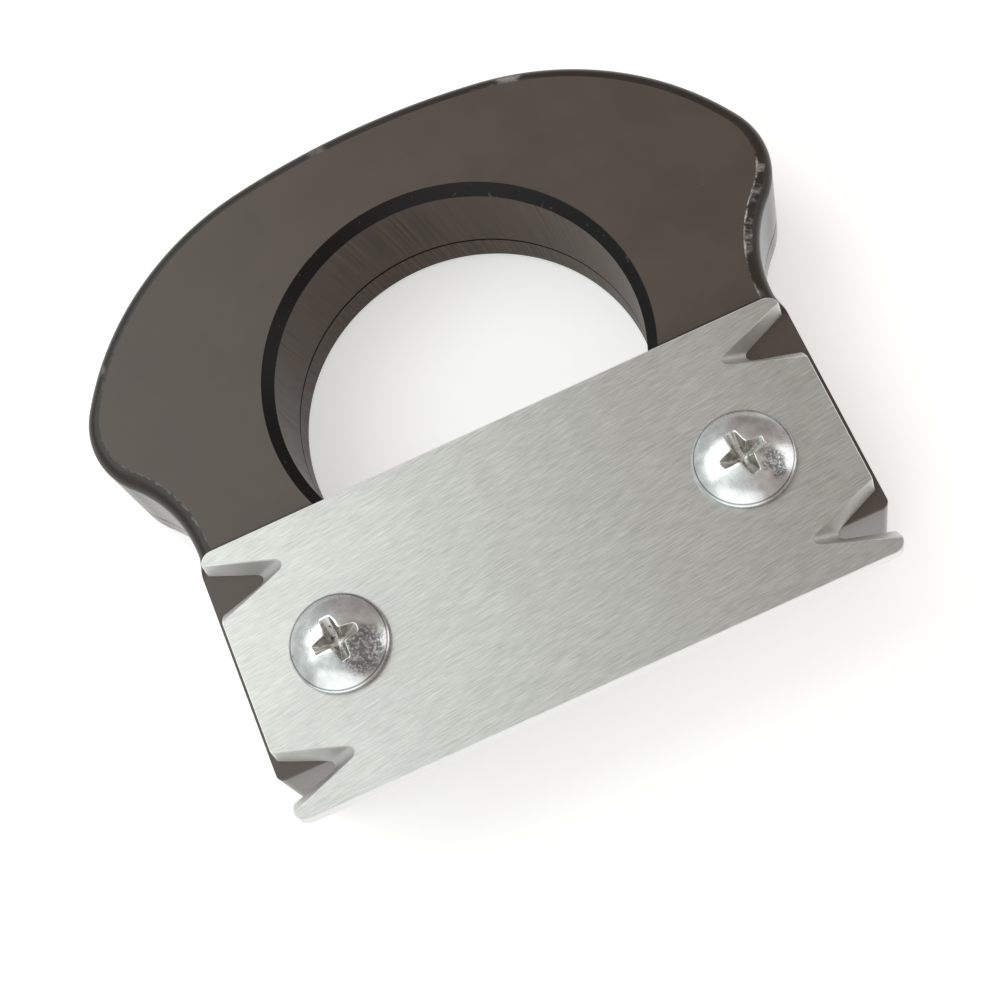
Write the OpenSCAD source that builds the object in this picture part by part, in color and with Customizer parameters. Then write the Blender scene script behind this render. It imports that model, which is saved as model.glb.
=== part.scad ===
// Hand-held trimmer for edge banding: a notched steel blade, held by two
// screws on the front of a two-layer handle with a finger hole.
// The tool lies on its back, +Z through the blade and +Y towards the crown.
// The origin is under the middle of its outline, on the back face.

/* [Blade] */
// Length of the blade plate
blade_l = 75; // [62:0.5:82]
// Width of the blade plate
blade_w = 35; // [30:0.5:40]
// Thickness of the blade plate
blade_t = 2; // [1.5:0.1:3]
// Radius of the blade's corners
blade_corner_r = 1.6; // [0.6:0.1:3]

/* [Notches] */
// Angle between a notch's two cutting edges, on the front face
notch_angle = 40; // [30:1:50]
// Depth of a notch from the blade's end to its root, on the front face
notch_depth = 9.1; // [6:0.1:11]
// Height of a notch's centre line from the blade's nearest long edge
notch_edge = 5.2; // [4.6:0.1:7]
// How much shallower a notch is on the back face
notch_rake = 3; // [1.5:0.1:4]
// Radius of a notch's root
notch_root_r = 0.9; // [0.5:0.05:1.2]

/* [Handle] */
// Overall height, from the blade's lower edge to the top of the crown
overall_h = 82.3; // [76:0.1:88]
// Overall width across the two lobes
handle_w = 91.6; // [86:0.1:98]
// Thickness of the front layer
front_t = 13.1; // [11:0.1:16]
// Thickness of the back layer
back_t = 5.5; // [4:0.1:8]
// How far the blade stands out below the handle's foot
blade_overhang = 5.9; // [4:0.1:8]
// Radius of the arc along the top of the crown
crown_r = 100; // [80:1:140]
// Radius of the crown's shoulders
shoulder_r = 38.2; // [33:0.1:42]
// Radius of the lobes
lobe_r = 10.4; // [8:0.1:13]
// Height of the lobes' centres above the finger hole's centre
lobe_up = 10.6; // [6:0.1:14]
// Radius of the hollow between a lobe and the base
neck_r = 17.5; // [13:0.1:21]
// Width between the two hollows at their deepest
neck_w = 76; // [72:0.5:80]
// How far the base stands out past each hollow
base_step = 0.2; // [0.1:0.1:1]
// Radius of the foot's two corners
foot_r = 1; // [0.4:0.1:2]
// Radius of the rounded outer edges
edge_r = 1.9; // [0.8:0.1:2.4]
// Radius of the curve in which the rounding runs out beside the blade
runout_r = 3; // [1.5:0.1:6]

/* [Finger hole] */
// Diameter of the finger hole
hole_d = 46.3; // [40:0.1:50]
// Height of the finger hole's centre above the foot
hole_up = 39.3; // [36:0.1:43]
// Chamfer on the finger hole's two rims
hole_chamfer = 1.3; // [0.4:0.1:2]

/* [Screws] */
// Distance between the two screws
screw_pitch = 51; // [40:0.5:56]
// Diameter of the screw shank
screw_d = 5; // [4:0.5:6]
// Diameter of the screw head
head_d = 12; // [9:0.1:13]
// Height of the screw head
head_h = 2.9; // [2:0.1:4]
// Height of the band round the head's rim
head_rim = 0.6; // [0.3:0.1:1]
// Width across the wings of the cross recess
recess_w = 5.4; // [3.5:0.1:6]
// Depth of the cross recess
recess_depth = 2.1; // [1:0.1:2.4]
// Thickness of the recess wings
recess_wing = 1.3; // [0.6:0.1:1.6]
// How far the screw tip stands out past the front layer
screw_tip_out = 0.9; // [0.2:0.1:2]

/* [Nuts] */
// Width of a nut across its flats
nut_flats = 8; // [7:0.1:10]
// Thickness of a nut
nut_t = 4; // [3:0.1:5]

/* [Clearances] */
// Radial clearance of the screw in the blade and in the front layer
shank_clear = 0.3; // [0.2:0.05:0.5]
// Radial clearance that stands for the thread between screw and nut
thread_clear = 0.05; // [0.02:0.01:0.1]
// Clearance round a nut in its pocket, and behind it
nut_clear = 0.1; // [0.05:0.05:0.3]
// Room past the screw tip in the back layer
tip_clear = 0.6; // [0.3:0.1:1]

/* [Hidden] */
$fn = 96;

// Overlap that keeps cuts clear of faces that coincide
eps = 0.01;
// Extra reach of a cutter past the solid that it cuts
reach = 5;
// Angle by which an arc's cut or slice runs on into the next arc
lap = 2;
// How far each arc stands out past its tangent point, so that it crosses the next arc cleanly
blend = 0.005;
// Number of straight cuts that make up a rounded edge
edge_steps = 3;

seam_z = back_t;
face_z = back_t + front_t;
blade_top_z = face_z + blade_t;
blade_low_y = -overall_h / 2;
blade_mid_y = blade_low_y + blade_w / 2;
foot_y = blade_low_y + blade_overhang;
crown_y = overall_h / 2;
hole_y = foot_y + hole_up;
hole_r = hole_d / 2;

function unit(v) = v / norm(v);
function heading(v) = atan2(v[1], v[0]);
// Point at distance ra from a and rb from b, to the left of the way from a to b
function meeting(a, ra, b, rb) =
    let (ab = b - a, d = norm(ab), along = (ra * ra - rb * rb + d * d) / (2 * d))
    a + along * unit(ab) + sqrt(ra * ra - along * along) * [-unit(ab)[1], unit(ab)[0]];

// Radii of the outline's arcs with their blends
shoulder_arc = shoulder_r + blend;
lobe_arc = lobe_r + 2 * blend;
neck_arc = neck_r + blend;

// Centres of the arcs on the right half of the outline, each tangent to the next
crown_c = [0, crown_y - crown_r];
lobe_c = [handle_w / 2 - lobe_arc, hole_y + lobe_up];
shoulder_c = meeting(crown_c, crown_r - shoulder_r, lobe_c, shoulder_r - lobe_r);
neck_x = neck_w / 2 + neck_r;
neck_c = [neck_x, lobe_c[1] - sqrt(pow(lobe_r + neck_r, 2) - pow(neck_x - lobe_c[0], 2))];
base_x = neck_w / 2 + base_step;

// Headings of the tangent points, seen from the arcs' centres
crown_heading = heading(shoulder_c - crown_c);
shoulder_heading = heading(lobe_c - shoulder_c);
lobe_heading = heading(neck_c - lobe_c);
neck_heading = heading(lobe_c - neck_c);

// Turn from one straight cut of a rounded edge to the next
edge_turn = 90 / edge_steps;
// How far the first and last cut run on past the face and the wall
edge_over = eps / tan(edge_turn / 2);
// Section of a rounded edge, in straight cuts from the face at height 0 down to the wall at radius r.
// The solid lies inside that radius where side is 1, and outside it where side is -1
function edge_cuts(r, side) = concat(
    [[r - side * (edge_r + edge_over), eps]],
    [for (a = [edge_turn : edge_turn : 90 - edge_turn])
        [r - side * edge_r * (1 - sin(a)), edge_r * (cos(a) - 1)]],
    [[r + side * eps, -edge_r - edge_over]]);

screw_hole_r = screw_d / 2 + shank_clear;
nut_bore_r = screw_d / 2 + thread_clear;
screw_len = blade_t + front_t + screw_tip_out;
nut_top_z = seam_z + nut_clear + nut_t;

// V of a notch: half angles on the front face and square to its sloping root
rake_angle = atan2(notch_rake, blade_t);
notch_half = notch_angle / 2;
groove_half = atan2(tan(notch_half), cos(rake_angle));
root_u = notch_root_r / sin(groove_half);
notch_point = notch_depth + (root_u - notch_root_r) / cos(rake_angle);

function polar(c, r, a) = c + r * [cos(a), sin(a)];

// Slice of a disc between two headings
module pie(c, r, a0, a1) {
    intersection() {
        translate(c)
            circle(r);
        polygon([c, polar(c, 2 * r, a0), polar(c, 2 * r, (a0 + a1) / 2), polar(c, 2 * r, a1)]);
    }
}

module both_sides() {
    children();
    mirror([1, 0, 0])
        children();
}

module right_half_arcs() {
    pie(shoulder_c, shoulder_arc, shoulder_heading, crown_heading + lap);
    translate(lobe_c)
        circle(lobe_arc);
    translate([base_x - foot_r, foot_y + foot_r])
        circle(foot_r);
}

// Top of the crown between its shoulders
module crown_cap() {
    intersection() {
        translate(crown_c)
            circle(crown_r, $fn = 4 * $fn);
        polygon([
            shoulder_c, polar(crown_c, 2 * crown_r, crown_heading),
            polar(crown_c, 2 * crown_r, 180 - crown_heading), [-shoulder_c[0], shoulder_c[1]],
        ]);
    }
}

// Handle outline: base block, hollow necks, lobes, shoulders and crown
module handle_outline() {
    core = [
        [base_x - foot_r, foot_y], [base_x - foot_r, foot_y + foot_r], [base_x, foot_y + foot_r],
        [base_x, neck_c[1]], polar(lobe_c, lobe_r, lobe_heading), lobe_c,
        polar(shoulder_c, shoulder_r / 2, (shoulder_heading + crown_heading) / 2),
    ];
    difference() {
        union() {
            both_sides()
                right_half_arcs();
            crown_cap();
            polygon(concat(core, [for (i = [len(core) - 1:-1:0]) [-core[i][0], core[i][1]]]));
        }
        both_sides()
            translate(neck_c)
                circle(neck_arc);
    }
}

// Rounding along a convex arc from heading a0 to a1, for a face at height 0
module convex_edge(c, r, a0, a1) {
    translate(c)
        rotate(a0)
            rotate_extrude(angle = a1 - a0)
                polygon(concat(edge_cuts(r, 1), [[r + eps, eps]]));
}

// Rounding along a hollow arc from heading a0 to a1, for a face at height 0
module hollow_edge(c, r, a0, a1) {
    translate(c)
        rotate(a0)
            rotate_extrude(angle = a1 - a0)
                polygon(concat(edge_cuts(r, -1), [[0, -edge_r - edge_over], [0, eps]]));
}

// Rounded edges of the crown, shoulders, lobes and necks, for a face at height 0 that looks up.
// Below each hollow's deepest point the rounding runs out in a tighter curve
module rounded_edges() {
    runout_c = [neck_w / 2 + runout_r, neck_c[1]];
    convex_edge(crown_c, crown_r, crown_heading - lap, 180 - crown_heading + lap);
    both_sides() {
        convex_edge(shoulder_c, shoulder_arc, shoulder_heading - lap, crown_heading);
        convex_edge(lobe_c, lobe_arc, lobe_heading, shoulder_heading);
        hollow_edge(neck_c, neck_arc + blend, 0, 180);
        hollow_edge(runout_c, runout_r + 3 * blend, 0, 360);
    }
}

// Finger hole through a layer of thickness t, with its rim chamfer at the top
module finger_hole(t) {
    translate([0, hole_y, -reach])
        cylinder(h = t + 2 * reach, r = hole_r);
    translate([0, hole_y, t - hole_chamfer])
        cylinder(h = hole_chamfer + reach, r1 = hole_r, r2 = hole_r + hole_chamfer + reach);
}

module at_screws() {
    for (side = [-1, 1])
        translate([side * screw_pitch / 2, blade_mid_y, 0])
            children();
}

// Front layer: carries the blade, with screw holes and nut pockets behind them
module handle_front() {
    color([0.17, 0.155, 0.145])
        translate([0, 0, seam_z])
            difference() {
                linear_extrude(front_t)
                    handle_outline();
                translate([0, 0, front_t])
                    rounded_edges();
                finger_hole(front_t);
                at_screws() {
                    translate([0, 0, -reach])
                        cylinder(h = front_t + 2 * reach, r = screw_hole_r);
                    translate([0, 0, -reach])
                        nut_prism(nut_flats + 2 * nut_clear, reach + nut_t + nut_clear);
                }
            }
}

// Back layer: closes the nut pockets, with room for the screw tips
module handle_back() {
    color([0.15, 0.135, 0.125])
        difference() {
            linear_extrude(back_t)
                handle_outline();
            mirror([0, 0, 1])
                rounded_edges();
            translate([0, 0, back_t])
                mirror([0, 0, 1])
                    finger_hole(back_t);
            at_screws()
                translate([0, 0, seam_z - screw_tip_out - tip_clear])
                    cylinder(h = screw_tip_out + tip_clear + reach, r = screw_hole_r);
        }
}

module nut_prism(flats, h) {
    cylinder(h = h, r = flats / 2 / cos(30), $fn = 6);
}

// Rounded rectangle
module blade_outline() {
    x = blade_l / 2 - blade_corner_r;
    y = blade_w / 2 - blade_corner_r;
    translate([0, blade_mid_y]) {
        square([blade_l, 2 * y], center = true);
        square([2 * x, blade_w], center = true);
        for (sx = [-1, 1], sy = [-1, 1])
            translate([sx * x, sy * y])
                circle(blade_corner_r);
    }
}

// Section of a notch square to its root: a V with a round bottom, opening along +X
module groove_profile() {
    u = (notch_point + reach) * cos(rake_angle);
    touch = root_u - notch_root_r * sin(groove_half);
    translate([root_u, 0])
        circle(notch_root_r);
    polygon([
        [touch, notch_root_r * cos(groove_half)], [u, u * tan(groove_half)],
        [u, -u * tan(groove_half)], [touch, -notch_root_r * cos(groove_half)],
    ]);
}

// One notch in the blade's right end, at height y: its root slopes out towards the back face
module notch(y) {
    translate([blade_l / 2 - notch_point, y, blade_top_z])
        rotate([0, -rake_angle, 0])
            linear_extrude(4 * notch_point, center = true)
                groove_profile();
}

module blade() {
    color([0.74, 0.74, 0.71])
        difference() {
            translate([0, 0, face_z])
                linear_extrude(blade_t)
                    blade_outline();
            both_sides() {
                notch(blade_low_y + notch_edge);
                notch(blade_low_y + blade_w - notch_edge);
            }
            at_screws()
                translate([0, 0, face_z - reach])
                    cylinder(h = blade_t + 2 * reach, r = screw_hole_r);
        }
}

// Cross recess from height 0 down, turned by an angle
module cross_recess(turn) {
    foot_w = recess_w - 2 * recess_depth * tan(26.5);
    for (a = [0, 90])
        rotate(turn + a)
            rotate([90, 0, 0])
                linear_extrude(recess_wing, center = true)
                    polygon([
                        [-recess_w / 2, eps], [recess_w / 2, eps],
                        [foot_w / 2, -recess_depth], [-foot_w / 2, -recess_depth],
                    ]);
}

// Truss-head screw with its head's underside at height 0
module screw(turn) {
    rise = head_h - head_rim;
    dome_r = (pow(head_d / 2, 2) + rise * rise) / (2 * rise);
    tip = 0.6;
    color([0.8, 0.81, 0.8])
        difference() {
            union() {
                rotate_extrude()
                    intersection() {
                        translate([0, head_h - dome_r])
                            circle(dome_r);
                        square([head_d / 2, head_h]);
                    }
                rotate_extrude()
                    polygon([
                        [0, eps], [screw_d / 2, eps], [screw_d / 2, tip - screw_len],
                        [screw_d / 2 - tip, -screw_len], [0, -screw_len],
                    ]);
            }
            translate([0, 0, head_h])
                cross_recess(turn);
        }
}

module place_screw(side, turn) {
    translate([side * screw_pitch / 2, blade_mid_y, blade_top_z])
        screw(turn);
}

// Hex nut seated under the floor of its pocket
module nut(side) {
    color([0.7, 0.7, 0.69])
        translate([side * screw_pitch / 2, blade_mid_y, nut_top_z - nut_t])
            difference() {
                nut_prism(nut_flats, nut_t);
                translate([0, 0, -reach])
                    cylinder(h = nut_t + 2 * reach, r = nut_bore_r);
            }
}

module screw_left() { place_screw(-1, 6); }
module screw_right() { place_screw(1, 8); }
module nut_left() { nut(-1); }
module nut_right() { nut(1); }

handle_front();
handle_back();
blade();
screw_left();
screw_right();
nut_left();
nut_right();
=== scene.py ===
"""Looks of a hand-held edge banding trimmer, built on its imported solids."""

import math
from functools import partialmethod

import bpy
import numpy as np
from mathutils import Euler, Matrix, Vector
from mathutils.geometry import delaunay_2d_cdt


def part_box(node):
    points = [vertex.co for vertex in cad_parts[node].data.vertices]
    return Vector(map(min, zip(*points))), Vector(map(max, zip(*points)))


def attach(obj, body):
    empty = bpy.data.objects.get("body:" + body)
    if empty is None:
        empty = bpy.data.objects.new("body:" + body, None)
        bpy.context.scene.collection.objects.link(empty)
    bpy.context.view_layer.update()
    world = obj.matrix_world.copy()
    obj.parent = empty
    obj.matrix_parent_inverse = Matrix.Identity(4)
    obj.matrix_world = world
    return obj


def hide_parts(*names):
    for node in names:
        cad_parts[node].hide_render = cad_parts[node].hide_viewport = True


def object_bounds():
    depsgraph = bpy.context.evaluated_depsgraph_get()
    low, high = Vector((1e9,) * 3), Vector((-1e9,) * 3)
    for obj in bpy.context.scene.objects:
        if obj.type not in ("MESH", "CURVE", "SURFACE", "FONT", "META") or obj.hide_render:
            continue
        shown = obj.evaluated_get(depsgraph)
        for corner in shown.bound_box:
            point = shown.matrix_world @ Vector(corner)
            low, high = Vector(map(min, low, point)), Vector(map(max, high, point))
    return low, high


bl_info = {
    "name": "Edge banding trimmer",
    "version": (1, 0, 0),
    "blender": (4, 5, 0),
    "location": "3D View > Sidebar > Trimmer",
    "description": "Builds the trimmer's handle, blade, screws and nuts, and a plain studio",
    "category": "Add Mesh",
}

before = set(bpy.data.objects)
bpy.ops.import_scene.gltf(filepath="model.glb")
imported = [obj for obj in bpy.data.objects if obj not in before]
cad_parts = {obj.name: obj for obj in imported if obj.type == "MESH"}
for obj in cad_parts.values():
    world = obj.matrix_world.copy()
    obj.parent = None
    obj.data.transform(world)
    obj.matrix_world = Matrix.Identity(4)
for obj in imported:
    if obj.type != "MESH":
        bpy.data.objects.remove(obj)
CAD_BOX = [list(corner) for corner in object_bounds()]
BLADE_LOW, BLADE_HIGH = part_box("blade")
FRONT_LOW, FRONT_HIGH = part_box("handle_front")
SEAM_Z, FACE_Z, BLADE_Z = FRONT_LOW.z, FRONT_HIGH.z, BLADE_HIGH.z
TIP_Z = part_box("screw_left")[0].z
FOOT_Y, CROWN_Y = FRONT_LOW.y, CAD_BOX[1][1]
BLADE_Y = (BLADE_LOW.y + BLADE_HIGH.y) / 2
MM = 0.001
MICRON = 0.001 * MM
UP, DOWN = (0.0, 0.0, 1.0), (0.0, 0.0, -1.0)

# Points round the closed rings, and along the parts of the blade's outline
BORE_POINTS, HOLE_POINTS, BLIND_POINTS, HEAD_POINTS, SHANK_POINTS = 420, 96, 64, 480, 72
EDGE_POINTS, NOTCH_POINTS, END_POINTS, ROOT_POINTS = 150, 110, 60, 25
OUTLINE_STEP, CORNER_STEP = 0.4 * MM, 0.05 * MM
# Broken edges of the screw holes
HANDLE_BREAK, BLADE_BREAK = 0.15 * MM, 0.12 * MM


def length(name, description, millimetres):
    """A length property whose default is given in millimetres."""
    return bpy.props.FloatProperty(
        name=name, description=description, default=millimetres * MM, min=0.0, precision=5, unit="LENGTH"
    )


def shade(name, description, colour):
    """A colour property with a linear default."""
    return bpy.props.FloatVectorProperty(
        name=name, description=description, default=colour, size=3, min=0.0, max=1.0, subtype="COLOR"
    )


def angle(name, description, degrees):
    """An angle property whose default is given in degrees."""
    return bpy.props.FloatProperty(
        name=name, description=description, default=math.radians(degrees), subtype="ANGLE"
    )


class TrimmerHandle(bpy.types.PropertyGroup):
    width: length("Width", "Width across the two lobes", 91.59)
    crown_radius: length("Crown radius", "Radius of the arc along the crown", 100.0)
    shoulder_radius: length("Shoulder radius", "Radius of the crown's shoulders", 38.2)
    lobe_radius: length("Lobe radius", "Radius of the lobes", 10.4)
    lobe_rise: length("Lobe rise", "Height of the lobes' centres above the finger hole's centre", 10.6)
    neck_radius: length("Neck radius", "Radius of the hollows below the lobes", 17.5)
    neck_width: length("Neck width", "Width between the two hollows", 76.0)
    base_step: length("Base step", "How far the base stands out past each hollow", 0.2)
    foot_radius: length("Foot radius", "Radius of the foot's corners", 1.0)
    edge_radius: length("Edge radius", "Radius of the rounded edge along the crown, lobes and necks", 1.9)
    runout: length("Run-out", "Radius of the curve in which the rounding runs out beside the blade", 3.0)
    side_break: length("Side break", "Broken edge along the base's sides", 0.16)
    foot_break: length("Foot break", "Broken edge along the foot", 0.14)
    hole_diameter: length("Hole diameter", "Diameter of the finger hole", 46.3)
    hole_rise: length("Hole rise", "Height of the finger hole's centre above the foot", 39.3)
    hole_chamfer: length("Hole chamfer", "Chamfer on the finger hole's rims", 1.3)
    edge_round: length("Edge round", "Rounding on the hole chamfer's edges", 0.12)
    seam_break: length("Seam break", "Broken edge of the layers at their seam", 0.05)
    seam_gap: length("Seam gap", "Width of the gap that shows between the layers", 0.26)
    seam_depth: length("Seam depth", "Depth of the gap between the layers", 0.70)
    colour: shade("Colour", "Plastic of the handle", (0.079, 0.059, 0.046))
    # Near black: partly the chamfer's own tone and partly painted shade. It also colours the painted shadow
    # above the blade and the painted shade in the seam
    rim_and_shade_colour: shade("Rim colour", "Freshly cut plastic on the hole's chamfer", (0.010, 0.0088, 0.0088))
    # Whitened plastic on the cut strip and nicks; also the painted light that makes the foot paler
    cut_and_painted_light_colour: shade("Cut colour", "Plastic whitened by a coarse cutter", (0.32, 0.295, 0.28))
    burr_colour: shade("Burr colour", "Torn burr along the rounded edge", (0.55, 0.53, 0.51))


class TrimmerBlade(bpy.types.PropertyGroup):
    corner_radius: length("Corner radius", "Radius of the blade's corners", 1.6)
    notch_angle: angle("Notch angle", "Angle between a notch's edges on the front face", 40.0)
    notch_depth: length("Notch depth", "Depth of a notch on the front face", 9.1)
    notch_edge: length("Notch edge", "Distance of a notch's centre line from the long edge", 5.2)
    notch_rake: length("Notch rake", "How much shallower a notch is on the back face", 3.0)
    notch_twist: angle("Notch twist", "How far a notch is turned towards the crown on the back face", 4.0)
    notch_root: length("Notch root", "Radius of a notch's root", 0.9)
    edge_round: length("Edge round", "Rounding on the front edges", 0.11)
    back_round: length("Back round", "Rounding on the cutting edges at the back", 0.03)
    colour: shade("Colour", "Brushed steel", (0.545, 0.55, 0.525))
    ground_colour: shade("Ground colour", "Ground steel in the notches", (0.61, 0.598, 0.575))
    # Painted highlight: steel far brighter than the plate, on the outer sides and towards the notches' mouths
    edge_highlight_colour: shade("Outer edge colour", "Bright steel on the plate's outer edges", (0.93, 0.93, 0.92))


class TrimmerScrews(bpy.types.PropertyGroup):
    spacing: length("Spacing", "Distance between the two screws", 51.0)
    hole_radius: length("Hole radius", "Radius of the screw holes", 2.8)
    head_radius: length("Head radius", "Radius of a head", 5.99)
    head_height: length("Head height", "Height of a head", 2.85)
    rim: length("Rim", "Height of the band round a head", 0.6)
    shank_radius: length("Shank radius", "Radius over the thread", 2.5)
    thread_pitch: length("Thread pitch", "Rise of the thread in one turn", 0.8)
    thread_depth: length("Thread depth", "Depth of the thread", 0.42)
    recess_reach: length("Recess reach", "Half width across the recess wings", 2.78)
    recess_wing: length("Recess wing", "Half thickness of the recess wings at their ends", 0.57)
    recess_depth: length("Recess depth", "Depth of the cross recess", 2.1)
    turn_left: angle("Left turn", "Turn of the left recess", 6.0)
    turn_right: angle("Right turn", "Turn of the right recess", 8.0)
    stain_left: length("Left stain", "Radius of the stain on the left head", 3.5)
    stain_right: length("Right stain", "Radius of the stain on the right head", 2.1)
    colour: shade("Colour", "Zinc plating", (0.83, 0.85, 0.845))
    recess_colour: shade("Recess colour", "Dull plating inside the recess", (0.72, 0.71, 0.68))
    burr_colour: shade("Burr colour", "Bright burr round the recess", (0.96, 0.96, 0.94))
    # Dark stains and wear on the plating; also the painted shade in the crease round each head's rim
    wear_and_shade_colour: shade("Wear colour", "Dark stains on the plating", (0.12, 0.12, 0.135))


class TrimmerNuts(bpy.types.PropertyGroup):
    pocket_flats: length("Pocket flats", "Width of a nut's pocket across its flats", 8.2)
    pocket_depth: length("Pocket depth", "Depth of a nut's pocket", 4.1)
    tip_room: length("Tip room", "Depth of the hole for a screw's tip in the back layer", 1.5)
    colour: shade("Colour", "Zinc plated steel", (0.50, 0.50, 0.48))


class TrimmerStage(bpy.types.PropertyGroup):
    floor_colour: shade("Floor colour", "Plain pale floor", (0.86, 0.86, 0.845))
    floor_size: length("Floor size", "Width of the floor", 6000.0)
    floor_lift: bpy.props.FloatProperty(
        name="Floor lift", description="Brightness added to the floor in the picture",
        default=0.50, min=0.0, max=1.0,
    )
    focal: bpy.props.FloatProperty(
        name="Focal length", description="Focal length on a 36 mm sensor", default=70.136, min=1.0
    )
    camera_place: bpy.props.FloatVectorProperty(
        name="Camera place", description="Where the camera stands", size=3, subtype="TRANSLATION",
        default=(0.00297, -0.10100, 0.23074),
    )
    camera_tilt: angle("Camera tilt", "Turn of the camera about X", 22.10875)
    camera_pan: angle("Camera pan", "Turn of the camera about Y", 1.23744)
    camera_roll: angle("Camera roll", "Turn of the camera about its own axis", -24.52850)


def smooth_step(value, low, high):
    """0 below low and 1 above high, with the cubic 3t^2 - 2t^3 between them."""
    t = np.clip((value - low) / (high - low), 0.0, 1.0)
    return t * t * (3.0 - 2.0 * t)


def join(*parts):
    """Arrays one after another."""
    return np.concatenate(parts)


def circle(angles):
    """Points of the unit circle: (cos a, sin a)."""
    return np.stack([np.cos(angles), np.sin(angles)], 1)


def clockwise(count):
    """Angles spaced evenly round a circle, clockwise from 0."""
    return -np.arange(count) * 2.0 * math.pi / count


def heading(way):
    """Angle of a flat vector from the X axis."""
    return math.atan2(way[1], way[0])


def arc(centre, radius, start, end, step):
    """Points on a circle: centre plus radius times (cos a, sin a), with a going evenly from start to end."""
    sweep = abs(end - start)
    count = max(int(sweep * radius / step), int(sweep / math.radians(5.0)), 2)
    return np.asarray(centre) + radius * circle(np.linspace(start, end, count, endpoint=False))


def line(start, end, step):
    """Points spaced evenly on a straight line, without its last one."""
    start, end = np.asarray(start, float), np.asarray(end, float)
    count = max(int(np.linalg.norm(end - start) / step), 1)
    return start + np.linspace(0.0, 1.0, count, endpoint=False)[:, None] * (end - start)


def running(steps):
    """Lengths added up from 0."""
    return join([0.0], np.cumsum(steps))


def resample(points, count):
    """The same polyline as count points spaced evenly along its length, without its last one."""
    run = running(np.linalg.norm(np.diff(points, axis=0), axis=1))
    at = np.linspace(0.0, run[-1], count, endpoint=False)
    return np.stack([np.interp(at, run, points[:, k]) for k in range(2)], 1)


def mirrored(right):
    """A closed loop from its right half, whose two ends lie on the middle line."""
    return join(right, right[-2:0:-1] * (-1.0, 1.0))


def smoothed(loop):
    """A closed loop with each point made half of itself and a quarter of each neighbour."""
    return 0.5 * loop + 0.25 * (np.roll(loop, -1, 0) + np.roll(loop, 1, 0))


def outward(loop):
    """Unit normals of a closed loop: its tangent by central differences, turned to the right."""
    tangent = np.roll(loop, -1, 0) - np.roll(loop, 1, 0)
    tangent /= np.linalg.norm(tangent, axis=1)[:, None]
    return np.stack([tangent[:, 1], -tangent[:, 0]], 1)


def lift(loops, heights):
    """Rings in space from flat loops (rings by points by 2) and heights (rings, or rings by points)."""
    heights = np.asarray(heights, float)
    heights = np.broadcast_to(heights.reshape(len(loops), -1), loops.shape[:2])
    return np.concatenate([loops, heights[:, :, None]], 2)


def round_hole(centre, radii, heights, count):
    """Rings of a round hole, clockwise: each is a circle of its own radius at its own height."""
    return lift(np.asarray(centre) + np.asarray(radii)[:, None, None] * circle(clockwise(count)), heights)


def seam_foot(depth, foot, gap, gap_depth):
    """Inset and depth of a wall's last rings: a quarter circle of radius foot, and a step of half the seam's
    gap, gap_depth deep."""
    quarter = np.radians(np.linspace(0.0, 90.0, 4))
    brink = depth - gap / 2
    inset = join(foot * (1 - np.cos(quarter)), [gap_depth, gap_depth])
    return inset, join(brink - foot + foot * np.sin(quarter), [brink, depth])


def chamfered_wall(chamfer, rounding):
    """Inset and depth of a 45 degree chamfer between two arcs of radius rounding, from the face down."""
    reach = chamfer + rounding * math.tan(math.pi / 8)
    upper, lower = np.radians(np.linspace(0, 45, 4)), np.radians(np.linspace(45, 90, 4))
    inset = join(reach - rounding * np.sin(upper), rounding * (1 - np.sin(lower)))
    return inset, join(rounding * (1 - np.cos(upper)), reach - rounding * np.cos(lower))


def place_object(name, data):
    """A new object of the scene, at the origin."""
    made = bpy.data.objects.new(name, data)
    bpy.context.scene.collection.objects.link(made)
    return made


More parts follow.
